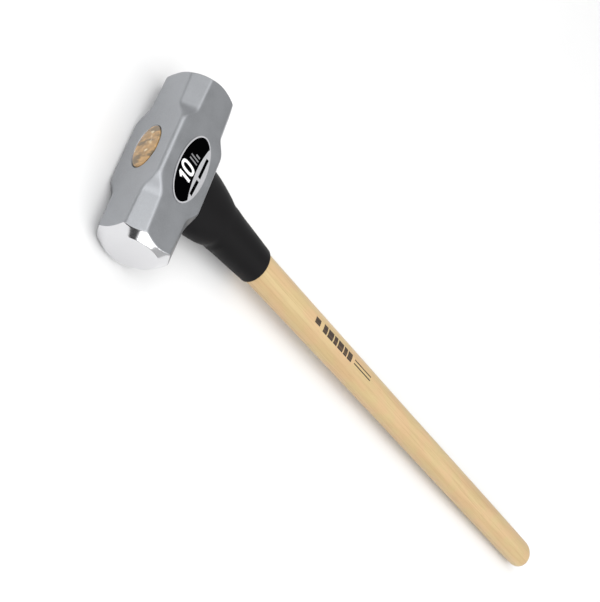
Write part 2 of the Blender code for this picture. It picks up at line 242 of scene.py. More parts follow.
class StageSettings(PropertyGroup):
    floor_size: length("Floor size", "Side of the square floor", 24.0)
    floor_colour: colour("Floor", "Colour of the floor", (0.82, 0.82, 0.82))
    room_brightness: number("Room", "Brightness of the room round the lights", 0.59)
    dark_brightness: number("Dark side", "Brightness of the room's unlit side, behind the camera", 0.06)
    dark_side: direction("Dark direction", "Towards the room's unlit side", (-0.46, -0.885, 0.07))
    dark_core: angle("Dark core", "Half angle of the fully unlit part", 16)
    dark_reach: angle("Dark reach", "Half angle at which the room is fully lit again", 23)
    key_brightness: number("Key", "Brightness of the softbox over the rear of the head", 1.25)
    left_brightness: number("Left fill", "Brightness of the long softbox beyond the head", 1.0)
    right_brightness: number("Right fill", "Brightness of the softbox over the front", 1.4)
    front_brightness: number("Front", "Brightness of the low softbox that glints on the ground ends", 2.6)
    camera_from: lengths("Camera from", "Camera in the hammer's own frame", (-0.5554, -0.5487, 0.6738))
    camera_aim: lengths(
        "Camera aim", "Point the camera looks at, in the hammer's own frame", (0.2334, 0.0118, 0.0))
    camera_roll: angle("Camera roll", "Turn of the camera about its line of sight", 86.79)
    camera_lens: number("Lens", "Focal length in millimetres on a 36 mm sensor", 67.63)


# Softboxes over the floor: size and place in metres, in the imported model's frame
SOFTBOXES = {
    "left": ((4.0, 8.0), (-2.4, 0.0, 3.0)),
    "right": ((4.0, 8.6), (1.6, -3.7, 3.0)),
    "key": ((2.4, 3.6), (-3.2, 0.3, 2.95)),
    "front": ((3.2, 1.5), (-0.4, -6.6, 2.65)),
}


# ---------------------------------------------------------------- mesh work

ACROSS = Matrix(((0, 0, 1, 0), (1, 0, 0, 0), (0, 1, 0, 0), (0, 0, 0, 1)))   # lays a circle across X


def blend(value):
    """Smooth step from 0 to 1."""
    value = min(max(value, 0.0), 1.0)
    return value * value * (3 - 2 * value)


def soft_blend(value):
    """Smooth step from 0 to 1 with no sudden bend at its ends."""
    value = min(max(value, 0.0), 1.0)
    return value**3 * (value * (6 * value - 15) + 10)


def soft_min(a, b, softness):
    """The smaller of two numbers, rounded where they cross."""
    near = max(softness - abs(a - b), 0.0) / softness
    return min(a, b) - near * near * softness / 4


def read_outline(outline, x):
    """Half widths at x on a smooth curve through an outline's rings."""
    last = len(outline) - 1
    index = 0
    while index < last - 1 and x > outline[index + 1][0]:
        index += 1
    x0, x1 = outline[index][0], outline[index + 1][0]
    t = min(max((x - x0) / (x1 - x0), 0.0), 1.0)
    before, after = max(index - 1, 0), min(index + 2, last)
    widths = []
    for column in (1, 2):
        start, end = outline[index][column], outline[index + 1][column]
        rise_in = (end - outline[before][column]) / (x1 - outline[before][0])
        rise_out = (outline[after][column] - start) / (outline[after][0] - x0)
        widths.append(
            (2 * t**3 - 3 * t**2 + 1) * start
            + (t**3 - 2 * t**2 + t) * (x1 - x0) * rise_in
            + (3 * t**2 - 2 * t**3) * end
            + (t**3 - t**2) * (x1 - x0) * rise_out
        )
    return widths


def spread(start, end, count):
    """Evenly spaced numbers from start to end, both included."""
    return [start + (end - start) * index / (count - 1) for index in range(count)]


def oval_loop(bm, x, half_y, half_z, segments):
    """Edges of an oval that stands across the handle's axis at x."""
    place = Matrix.Translation((x, 0, 0)) @ Matrix.Diagonal((1, half_y, half_z, 1)) @ ACROSS
    made = bmesh.ops.create_circle(bm, segments=segments, radius=1.0, matrix=place)
    return list(dict.fromkeys(edge for vertex in made["verts"] for edge in vertex.link_edges))


def bridge(bm, loops, closed=False):
    """Skin a stack of edge loops; closed joins the last to the first, or else both ends are filled."""
    pairs = list(zip(loops, loops[1:]))
    if closed:
        pairs.append((loops[-1], loops[0]))
    for lower, upper in pairs:
        bmesh.ops.bridge_loops(bm, edges=lower + upper)
    if not closed:
        for loop in (loops[0], loops[-1]):
            bmesh.ops.edgeloop_fill(bm, edges=loop)


def outward(bm):
    """Turn every face outwards."""
    bmesh.ops.recalc_face_normals(bm, faces=bm.faces)
    if bm.calc_volume(signed=True) < 0:
        bmesh.ops.reverse_faces(bm, faces=bm.faces)


def thicken(bm, flat, thickness):
    """Raise flat faces along Z to a closed plate."""
    raised = bmesh.ops.extrude_face_region(bm, geom=flat, use_keep_orig=True)
    top = [item for item in raised["geom"] if isinstance(item, bmesh.types.BMVert)]
    bmesh.ops.translate(bm, verts=top, vec=(0, 0, thickness))


def plate(bm, outline, bottom, thickness):
    """Raise one flat face, given by its corners on X and Y, to a plate; returns its new faces."""
    before = set(bm.faces)
    corners = [bm.verts.new((x, y, bottom)) for x, y in outline]
    thicken(bm, [bm.faces.new(corners)], thickness)
    return [face for face in bm.faces if face not in before]


def to_object(bm, name):
    """Make an object from a bmesh."""
    mesh = bpy.data.meshes.new(name)
    bm.to_mesh(mesh)
    bm.free()
    obj = bpy.data.objects.new(name, mesh)
    bpy.context.scene.collection.objects.link(obj)
    return obj


def cut(obj, *others):
    """Cut other objects out of obj for good, and drop them."""
    for other in others:
        modifier = obj.modifiers.new(other.name, 'BOOLEAN')
        modifier.operation = 'DIFFERENCE'
        modifier.solver = 'EXACT'
        modifier.object = other
    bpy.context.view_layer.update()
    graph = bpy.context.evaluated_depsgraph_get()
    old = obj.data
    obj.data = bpy.data.meshes.new_from_object(obj.evaluated_get(graph))
    obj.modifiers.clear()
    obj.data.name = obj.name
    bpy.data.meshes.remove(old)
    for other in others:
        mesh = other.data
        bpy.data.objects.remove(other, do_unlink=True)
        bpy.data.meshes.remove(mesh)


def hand_over(obj, nodes, finishes, sharp=40.0):
    """Lay a finished piece in its place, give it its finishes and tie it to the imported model.

    It stands for the CAD nodes in the list, which may be empty. Edges turned by more than sharp
    degrees stay crisp.
    """
    obj.data.transform(HAMMER)
    obj.data.shade_smooth()
    obj.data.set_sharp_from_angle(angle=math.radians(sharp))
    for finish in finishes:
        obj.data.materials.append(finish)
    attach(obj, BODY)
    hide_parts(*nodes)


def eye_widths(settings, x, clearance=0.0):
    """The eye narrows on a smooth curve from each mouth to its waist."""
    if x < settings.eye_waist_place:
        mouth, reach = settings.eye_top, settings.eye_waist_place - HEAD_TOP
    else:
        mouth, reach = settings.eye_bottom, HEAD_UNDERSIDE - settings.eye_waist_place
    t = blend(abs(x - settings.eye_waist_place) / reach)
    return [waist + (wide - waist) * t - clearance for waist, wide in zip(settings.eye_waist, mouth)]


# ---------------------------------------------------------------- finishes


class Finish:
    """A material under construction: short calls for its nodes."""

    def __init__(self, name):
        self.material = bpy.data.materials.new(name)
        self.material.use_nodes = True
        self.tree = self.material.node_tree
        self.shader = self.tree.nodes["Principled BSDF"]

    def put(self, socket, value):
        """Link a node's output into a socket, or set the socket to a plain value."""
        if isinstance(value, bpy.types.NodeSocket):
            self.tree.links.new(value, socket)
        elif socket.type == 'RGBA':
            socket.default_value = (*value[:3], 1.0)
        else:
            socket.default_value = value

    def node(self, kind, output=0, settings=None, **inputs):
        """Add a node, set it up and return one of its outputs.

        An input is given by its name, or by its number after an underscore.
        """
        node = self.tree.nodes.new(kind)
        for key, value in (settings or {}).items():
            setattr(node, key, value)
        for key, value in inputs.items():
            name = int(key[1:]) if key[0] == "_" else key.replace("_", " ")
            self.put(node.inputs[name], value)
        return node.outputs[output]

    def math(self, operation, a, b=0.0):
        """Work out one operation on two numbers."""
        return self.node('ShaderNodeMath', 0, {"operation": operation}, _0=a, _1=b)

    def hammer_place(self, scale=(1.0, 1.0, 1.0)):
        """Object coordinates turned and moved into the hammer's own frame, then stretched."""
        place = self.node('ShaderNodeTexCoord', "Object")
        own = self.node(
            'ShaderNodeMapping', 0, {"vector_type": 'TEXTURE'},
            Vector=place, Location=HAMMER.translation, Rotation=(0, LAY_TILT, 0))
        return self.node('ShaderNodeMapping', 0, {"vector_type": 'POINT'}, Vector=own, Scale=scale)

    def noise(self, scale, detail=4.0, roughness=0.5, place=None):
        """Noise of 0 to 1, in the hammer's own frame unless another place is given."""
        place = self.hammer_place() if place is None else place
        return self.node(
            'ShaderNodeTexNoise', 0, None, Vector=place, Scale=scale, Detail=detail, Roughness=roughness)

    def range(self, value, low, high, to_low=0.0, to_high=1.0):
        """Map a number from one range to another on a smooth step."""
        return self.node(
            'ShaderNodeMapRange', 0, {"interpolation_type": 'SMOOTHSTEP'},
            _0=value, _1=low, _2=high, _3=to_low, _4=to_high)

    def mix(self, factor, a, b):
        """Mix two colours."""
        return self.node('ShaderNodeMix', 2, {"data_type": 'RGBA'}, _0=factor, _6=a, _7=b)

    def blend(self, factor, a, b):
        """Mix two numbers."""
        return self.node('ShaderNodeMix', 0, {"data_type": 'FLOAT'}, _0=factor, _2=a, _3=b)

    def bump(self, height, depth, strength):
        """Raise and lower the surface by a pattern."""
        return self.node('ShaderNodeBump', Strength=strength, Distance=depth, Height=height)

    def done(self, **inputs):
        """Set the shader's own inputs and return the material."""
        for key, value in inputs.items():
            self.put(self.shader.inputs[key.replace("_", " ")], value)
        return self.material


def scaled(colour, factor):
    """A lighter or darker shade of a colour."""
    return tuple(channel * factor for channel in colour)


def forged_steel(settings):
    """Satin forged body and ground ends, told apart by the head's own polish attribute."""
    steel = Finish("forged_steel")
    polish = steel.range(
        steel.node('ShaderNodeAttribute', "Fac", {"attribute_name": "polish"}), 0.35, 0.65)
    cloud = steel.noise(45.0, 3.0)
    grit = steel.noise(1400.0, 3.0, 0.6)
    dull, fair, bright = [scaled(settings.satin_colour, factor) for factor in (0.94, 1.05, 1.12)]
    satin = steel.mix(steel.range(cloud, 0.3, 0.7), dull, fair)
    satin = steel.mix(steel.range(grit, 0.35, 0.75), satin, bright)
    from_axis = steel.hammer_place((1.0, 0.0, 1.0))
    radius = steel.node('ShaderNodeVectorMath', "Value", {"operation": 'LENGTH'}, _0=from_axis)
    rings = steel.noise(1.0, 4.0, 0.7, steel.node(
        'ShaderNodeCombineXYZ', 0, None, X=steel.math('MULTIPLY', radius, 1800.0)))
    ground = steel.mix(
        steel.range(rings, 0.3, 0.7), scaled(settings.polished_colour, 0.93), settings.polished_colour)
    surface = steel.blend(polish, steel.math('MULTIPLY', grit, 0.8), steel.math('MULTIPLY', rings, 0.25))
    return steel.done(
        Base_Color=steel.mix(polish, satin, ground),
        Metallic=1.0,
        Roughness=steel.blend(
            polish, steel.range(cloud, 0.3, 0.7, 0.40, 0.46), steel.range(rings, 0.3, 0.7, 0.10, 0.17)),
        Normal=steel.bump(surface, 0.05 * MM, 0.35),
    )


def handle_wood(settings):
    """Lacquered straight-grained wood with pinker patches and fine pores."""
    wood = Finish("handle_wood")
    figure = wood.noise(1.0, 3.0, 0.55, wood.hammer_place((5.0, 95.0, 95.0)))
    lines = wood.noise(1.0, 5.0, 0.6, wood.hammer_place((9.0, 620.0, 620.0)))
    pores = wood.noise(1.0, 2.0, 0.5, wood.hammer_place((60.0, 2600.0, 2600.0)))
    blotch = wood.noise(1.0, 2.0, 0.5, wood.hammer_place((26.0, 60.0, 60.0)))
    sapwood = wood.mix(wood.range(blotch, 0.38, 0.62), settings.wood_colour, settings.blotch_colour)
    body = wood.mix(
        wood.math('MULTIPLY', wood.range(figure, 0.35, 0.68), 0.35), sapwood, settings.grain_colour)
    body = wood.mix(
        wood.math('MULTIPLY', wood.range(lines, 0.48, 0.72), 0.45), body, settings.grain_colour)
    body = wood.mix(
        wood.math('MULTIPLY', wood.range(pores, 0.60, 0.74), 0.35), body, scaled(settings.grain_colour, 0.7))
    height = wood.math('ADD', wood.math('MULTIPLY', lines, 0.5), pores)
    return wood.done(
        Base_Color=body,
        Roughness=wood.range(lines, 0.3, 0.7, 0.36, 0.46),
        Normal=wood.bump(height, 0.05 * MM, 0.35),
        Specular_IOR_Level=0.3,
        Coat_Weight=0.08,
        Coat_Roughness=0.18,
    )


def print_ink(settings):
    """Dark ink that the grain shows through."""
    ink = Finish("handle_ink")
    lines = ink.noise(1.0, 4.0, 0.6, ink.hammer_place((12.0, 700.0, 700.0)))
    worn = scaled(settings.grain_colour, 0.35)
    return ink.done(
        Base_Color=ink.mix(ink.range(lines, 0.45, 0.75), settings.print_colour, worn),
        Roughness=ink.range(lines, 0.3, 0.7, 0.40, 0.50),
        Specular_IOR_Level=0.3,
    )


def sleeve_rubber(settings):
    """Matte moulded rubber with a fine moulded skin."""
    rubber = Finish("sleeve_rubber")
    skin = rubber.noise(1600.0, 3.0, 0.6)
    cloud = rubber.noise(40.0, 3.0)
    return rubber.done(
        Base_Color=rubber.mix(
            rubber.range(cloud, 0.3, 0.7), scaled(settings.rubber_colour, 0.85),
            scaled(settings.rubber_colour, 1.2)),
        Roughness=rubber.range(cloud, 0.3, 0.7, 0.46, 0.56),
        Specular_IOR_Level=0.11,
        Normal=rubber.bump(skin, 0.06 * MM, 0.3),
    )


def end_grain(name, colour, roughness):
    """Sawn end grain: rings of fine pores."""
    wood = Finish(name)
    rings = wood.noise(1.0, 4.0, 0.6, wood.hammer_place((40.0, 140.0, 900.0)))
    pores = wood.noise(1500.0, 2.0)
    tone = wood.mix(wood.range(rings, 0.35, 0.7), scaled(colour, 1.1), scaled(colour, 0.65))
    return wood.done(
        Base_Color=wood.mix(wood.range(pores, 0.5, 0.8), tone, scaled(colour, 0.55)),
        Roughness=wood.range(rings, 0.3, 0.7, roughness - 0.05, roughness + 0.05),
        Normal=wood.bump(pores, 0.08 * MM, 0.4),
    )


def wedge_steel(colour):
    """Driven mild steel, dull and scaly."""
    steel = Finish("wedge_steel")
    scale = steel.noise(420.0, 4.0, 0.6)
    grit = steel.noise(2200.0, 2.0)
    return steel.done(
        Base_Color=steel.mix(steel.range(scale, 0.35, 0.7), scaled(colour, 1.25), scaled(colour, 0.6)),
        Metallic=0.8,
        Roughness=steel.range(scale, 0.3, 0.7, 0.42, 0.62),
        Normal=steel.bump(steel.math('ADD', scale, grit), 0.08 * MM, 0.4),
    )


def amber_resin(settings):
    """Amber resin: gold, with the wedges' dark bands showing through and pale spots of painted glint."""
    resin = Finish("amber_resin")
    bands = resin.noise(1.0, 2.0, 0.5, resin.hammer_place((40.0, 140.0, 60.0)))
    cloud = resin.noise(150.0, 3.0)
    # Mask of the pale spots: a painted glint on the resin
    pale = resin.noise(1.0, 1.0, 0.5, resin.hammer_place((60.0, 110.0, 90.0)))
    lumps = resin.noise(210.0, 2.0)
    deep_gold = scaled(settings.resin_colour, 0.62)
    gold = resin.mix(resin.range(cloud, 0.35, 0.65), settings.resin_colour, deep_gold)
    banded = resin.mix(resin.range(bands, 0.48, 0.62), gold, settings.resin_dark)
    return resin.done(
        Base_Color=resin.mix(resin.range(pale, 0.58, 0.70), banded, settings.resin_glint_paint),
        Roughness=resin.range(cloud, 0.3, 0.7, 0.08, 0.2),
        Coat_Weight=0.8,
        Coat_Roughness=0.08,
        Normal=resin.bump(lumps, 0.6 * MM, 0.6),
    )


def label_ink(name, colour, roughness, metallic=0.0, gloss=0.1):
    """Printed film: an even colour with a faint mottle and a glossy laminate over it."""
    ink = Finish(name)
    mottle = ink.noise(900.0, 3.0, 0.6)
    wave = ink.noise(60.0, 2.0)
    return ink.done(
        Base_Color=ink.mix(ink.range(mottle, 0.3, 0.7), scaled(colour, 0.93), scaled(colour, 1.05)),
        Metallic=metallic,
        Roughness=ink.range(wave, 0.3, 0.7, roughness - 0.04, roughness + 0.04),
        Specular_IOR_Level=gloss,
        Normal=ink.bump(wave, 0.05 * MM, 0.3),
    )


def floor_finish(colour):
    """Pale matte floor with a faint mottle."""
    floor = Finish("floor_finish")
    place = floor.node('ShaderNodeTexCoord', "Object")
    mottle = floor.noise(3.0, 3.0, 0.5, place)
    return floor.done(
        Base_Color=floor.mix(floor.range(mottle, 0.3, 0.7), scaled(colour, 0.99), scaled(colour, 1.01)),
        Roughness=0.9,
        Specular_IOR_Level=0.1,
    )


# ---------------------------------------------------------------- operators


class SLEDGE_OT_head(Operator):
    """Turn the blank, forge its flats, and cut the eye"""

    bl_idname = "sledge.head"
    bl_label = "Forged head"

    def turned_profile(self, settings):
        """Radius and distance from the middle of the head, from a face's centre out to the blank's radius."""
        half = HEAD_LENGTH / 2
        middle, crown = settings.face_middle, settings.face_crown

        def face(radius):
            return half - max(radius**2 - middle**2, 0.0) / (2 * crown)

        start = math.asin(settings.shoulder_centre / crown)
        edge = settings.shoulder_centre + settings.shoulder_radius * math.sin(start)
        centre = face(edge) - settings.shoulder_radius * math.cos(start)
        points = [(radius, face(radius)) for radius in spread(0.0, edge, 12)[:-1]]
        for turn in spread(start, settings.cone_angle, 11):
            points.append((
                settings.shoulder_centre + settings.shoulder_radius * math.sin(turn),
                centre + settings.shoulder_radius * math.cos(turn),
            ))
        cone_start, cone_place = points[-1]
        for radius in spread(cone_start, settings.turned_radius, 30)[1:]:
            points.append((radius, cone_place - (radius - cone_start) * math.tan(settings.cone_angle)))
        return points

    def flat_leg(self, settings, y):
        """Leg of the corner flats: a narrow ridge bevel on the boss, wide leaf flats on the necks."""
        neck = settings.boss_half + settings.leaf_blend
        if abs(y) < neck:
            t = soft_blend((abs(y) - settings.boss_half) / settings.leaf_blend)
            return settings.boss_ridge + (settings.neck_flat - settings.boss_ridge) * t
        t = (abs(y) - neck) / (HEAD_LENGTH / 2 - neck)
        return settings.neck_flat + (settings.face_flat - settings.neck_flat) * t

    def flats_radius(self, settings, point):
        """Distance from the striking axis to the forged flats, on the ray through a point."""
        radius = math.hypot(point.x, point.z)
        if radius < 1 * MM:
            return HEAD_UNDERSIDE
        across, up = abs(point.x) / radius, abs(point.z) / radius
        top = HEAD_UNDERSIDE / max(across, 1e-6)
        cheek = CHEEK / max(up, 1e-6)
        corner = (HEAD_UNDERSIDE + CHEEK - self.flat_leg(settings, point.y)) / (across + up)
        soft = settings.ridge_softness
        return soft_min(soft_min(top, corner, soft), cheek, soft)

    def execute(self, context):
        settings = context.scene.sledge_head
        wedging = context.scene.sledge_handle
        profile = self.turned_profile(settings)
        middle = spread(profile[-1][1], 0.0, 70)[1:]
        half = profile + [(settings.turned_radius, y) for y in middle]
        line = half + [(radius, -y) for radius, y in reversed(half[:-1])]

        bm = bmesh.new()
        corners = [bm.verts.new((radius, y, 0)) for radius, y in line]
        edges = [bm.edges.new(pair) for pair in zip(corners, corners[1:])]
        bmesh.ops.spin(
            bm, geom=corners + edges, cent=(0, 0, 0), axis=(0, 1, 0), angle=2 * math.pi,
            steps=settings.turn_steps, use_merge=True)
        bmesh.ops.remove_doubles(bm, verts=bm.verts, dist=WELD)
        outward(bm)
        for vertex in bm.verts:
            radius = math.hypot(vertex.co.x, vertex.co.z)
            if radius > settings.shoulder_centre * 0.5:
                pressed = soft_min(radius, self.flats_radius(settings, vertex.co), settings.rim_softness)
                vertex.co.x *= pressed / radius
                vertex.co.z *= pressed / radius
        head = to_object(bm, "sledge_head")
        cut(head, self.eye_tool(wedging))
        if len(head.data.vertices) < 1000:
            raise RuntimeError("the eye was not cut")
        self.mark_polish(head.data, settings, profile)
        hand_over(head, ["hammer_head"], [forged_steel(settings)], 32.0)
        return {'FINISHED'}

    def eye_tool(self, wedging):
        """Solid of the eye with its countersunk upper mouth, past both sides of the head."""
        beyond = 3 * MM
        sink = wedging.countersink
        bm = bmesh.new()
        mouth = [half + sink for half in eye_widths(wedging, HEAD_TOP)]
        loops = [oval_loop(bm, HEAD_TOP - beyond, *[half + beyond for half in mouth], 96)]
        for x in spread(HEAD_TOP + sink, HEAD_UNDERSIDE, 14):
            loops.append(oval_loop(bm, x, *eye_widths(wedging, x), 96))
        loops.append(oval_loop(bm, HEAD_UNDERSIDE + beyond, *eye_widths(wedging, HEAD_UNDERSIDE), 96))
        bridge(bm, loops)
        outward(bm)
        return to_object(bm, "eye_tool")

    def mark_polish(self, mesh, settings, profile):
        """Store 1 on the ground ends and 0 on the forged flats, with a narrow step between."""
        mark = mesh.attributes.new("polish", 'FLOAT', 'POINT')
        blank_radius, blank_place = profile[-1]
        for vertex in mesh.vertices:
            turned = blank_radius - (abs(vertex.co.y) - blank_place) / math.tan(settings.cone_angle)
            waver = settings.polish_waver * noise.noise(vertex.co * 90)
            inside = self.flats_radius(settings, vertex.co) + waver - turned
            mark.data[vertex.index].value = min(max(inside / settings.polish_step + 0.5, 0.0), 1.0)


class SLEDGE_OT_handle(Operator):
    """Shape the handle from its wedged end to the butt"""

    bl_idname = "sledge.handle"
    bl_label = "Wooden handle"

    def execute(self, context):
        settings = context.scene.sledge_handle
        crown_start = BUTT_END - settings.butt_crown
        outline = [ring for ring in HANDLE_OUTLINE if ring[0] < crown_start + RING_SLACK]
        bm = bmesh.new()
        segments = 72
        loops = []
        for x in spread(WOOD_END, HEAD_UNDERSIDE, 10):
            loops.append(oval_loop(bm, x, *eye_widths(settings, x, settings.fit_gap), segments))
        places = spread(outline[0][0], settings.neck_end, 22)[:-1]
        places += spread(settings.neck_end, crown_start, 46)
        for x in places:
            loops.append(oval_loop(bm, x, *read_outline(outline, x), segments))
        half_y, half_z = outline[-1][1:]
        steps = 18
        for step in range(1, steps + 1):
            along = math.sin(math.pi / 2 * step / (steps + 0.6))
            scale = (1 - along**settings.butt_power) ** (1 / settings.butt_power)
            x = crown_start + settings.butt_crown * along
            loops.append(oval_loop(bm, x, half_y * scale, half_z * scale, segments))
        bridge(bm, loops)
        outward(bm)
        handle = to_object(bm, "sledge_handle")
        cut(handle, *[self.wedge_copy(node) for node in WEDGES])
        if len(handle.data.vertices) < 1000:
            raise RuntimeError("the wedge slots were not cut")
        hand_over(handle, ["handle"], [handle_wood(settings)])
        return {'FINISHED'}

    def wedge_copy(self, node):
        """A welded copy of a wedge in the hammer's own frame."""
        bm = bmesh.new()
        bm.from_mesh(frame["nodes"][node].data)
        bmesh.ops.remove_doubles(bm, verts=bm.verts, dist=WELD)
        bmesh.ops.transform(bm, matrix=INTO_HAMMER, verts=bm.verts)
        return to_object(bm, node + "_copy")


class SLEDGE_OT_print(Operator):
    """Print plain marks along the handle"""

    bl_idname = "sledge.print"
    bl_label = "Handle print"

    def execute(self, context):
        settings = context.scene.sledge_handle
        start, middle, half = settings.print_start, settings.print_middle, settings.print_half
        marks = [(start, 10 * MM, 0.0, 0.75 * half)]
        place = start + 17 * MM
        for width in (8, 11, 7, 11, 7, 9):
            marks.append((place, width * MM, 0.0, half))
            place += (width + 2) * MM
        marks += [(place + 4 * MM, 38 * MM, side * 0.45 * half, 0.16 * half) for side in (-1, 1)]
        bm = bmesh.new()
        for left, width, shift, tall in marks:
            size = Matrix.Diagonal((width / 2, tall, 1, 1))
            centre = Matrix.Translation((left + width / 2, middle + shift, 0))
            bmesh.ops.create_grid(bm, x_segments=6, y_segments=8, size=1.0, matrix=centre @ size)
        for vertex in bm.verts:
            half_y, half_z = read_outline(HANDLE_OUTLINE, vertex.co.x)
            vertex.co.z = half_z * math.sqrt(1 - (vertex.co.y / half_y) ** 2) + settings.print_rise
        bmesh.ops.solidify(bm, geom=bm.faces, thickness=settings.print_rise)
        outward(bm)
        marks = to_object(bm, "handle_print")
        hand_over(marks, [], [print_ink(settings)])
        return {'FINISHED'}


class SLEDGE_OT_sleeve(Operator):
    """Mould the rubber sleeve that guards the neck of the handle"""

    bl_idname = "sledge.sleeve"
    bl_label = "Overstrike sleeve"

    def execute(self, context):
        settings = context.scene.sledge_sleeve
        gap = context.scene.sledge_handle.fit_gap
        rim = SLEEVE_HIGH.x - settings.lip
        outer = [
            ring for ring in node_outline("overstrike_sleeve", 0.0)
            if ring[0] < rim + RING_SLACK
            and ring[1] > read_outline(HANDLE_OUTLINE, ring[0])[0] + settings.thinnest_wall
        ]
        top = SLEEVE_LOW.x
        bm = bmesh.new()
        segments = 96
        loops = []
        for turn in spread(0.0, math.pi / 2, 5):
            x = top + settings.top_rim * (1 - math.cos(turn))
            inset = settings.top_rim * (1 - math.sin(turn))
            loops.append(oval_loop(bm, x, *[half - inset for half in read_outline(outer, x)], segments))
        for x in spread(top + settings.top_rim, rim, 90)[1:]:
            half_y, half_z = read_outline(outer, x)
            beside = max(1 - ((x - settings.pad_end) / settings.groove_reach) ** 2, 0.0)
            loops.append(oval_loop(bm, x, half_y - settings.groove_depth * beside**2, half_z, segments))
        ends = read_outline(outer, rim)
        for turn in spread(0.0, math.pi / 2, 7)[1:]:
            inset = settings.lip * (1 - math.cos(turn))
            x = rim + settings.lip * math.sin(turn)
            loops.append(oval_loop(bm, x, *[half - inset for half in ends], segments))
        for x in spread(SLEEVE_HIGH.x, top, 24):
            bore = [half + gap for half in read_outline(HANDLE_OUTLINE, x)]
            loops.append(oval_loop(bm, x, *bore, segments))
        bridge(bm, loops, closed=True)
        outward(bm)
        sleeve = to_object(bm, "rubber_sleeve")
        hand_over(sleeve, ["overstrike_sleeve"], [sleeve_rubber(settings)], 50.0)
        return {'FINISHED'}


class SLEDGE_OT_wedges(Operator):
    """Finish the wooden wedge and the two steel ones"""

    bl_idname = "sledge.wedges"
    bl_label = "Wedges"

    def execute(self, context):
        settings = context.scene.sledge_wedges
        wood = end_grain("wedge_wood", settings.wedge_wood_colour, 0.6)
        steel = wedge_steel(settings.wedge_steel_colour)
        for node, finish in zip(WEDGES, (wood, steel, steel)):
            mesh = frame["nodes"][node].data
            mesh.materials.clear()
            mesh.materials.append(finish)
        return {'FINISHED'}


class SLEDGE_OT_resin(Operator):
    """Pour the bead of amber resin into the mouth of the eye"""

    bl_idname = "sledge.resin"
    bl_label = "Resin bead"

    def execute(self, context):
        settings = context.scene.sledge_wedges
        wedging = context.scene.sledge_handle
        bottom = WOOD_END - settings.resin_edge
        half_y, half_z = eye_widths(wedging, HEAD_TOP, settings.resin_edge)
        rise = HEAD_TOP - SEAL_TOP
        bm = bmesh.new()
        segments = 96
        loops = [oval_loop(bm, bottom, *eye_widths(wedging, WOOD_END, settings.resin_edge), segments)]
        steps = 20
        for step in range(steps + 1):
            turn = math.pi / 2 * step / (steps + 0.4)
            scale = math.cos(turn) ** 0.8
            loops.append(oval_loop(
                bm, HEAD_TOP - rise * math.sin(turn), half_y * scale, half_z * scale, segments))
        bridge(bm, loops)
        outward(bm)
        for vertex in bm.verts:
            if vertex.co.x < HEAD_TOP - 0.2 * MM:
                sag = 0.5 + 0.5 * noise.noise(vertex.co * 150)
                vertex.co.x += 0.45 * rise * sag * (HEAD_TOP - vertex.co.x) / rise
        bead = to_object(bm, "resin_bead")
        hand_over(bead, ["resin_seal"], [amber_resin(settings)], 50.0)
        return {'FINISHED'}


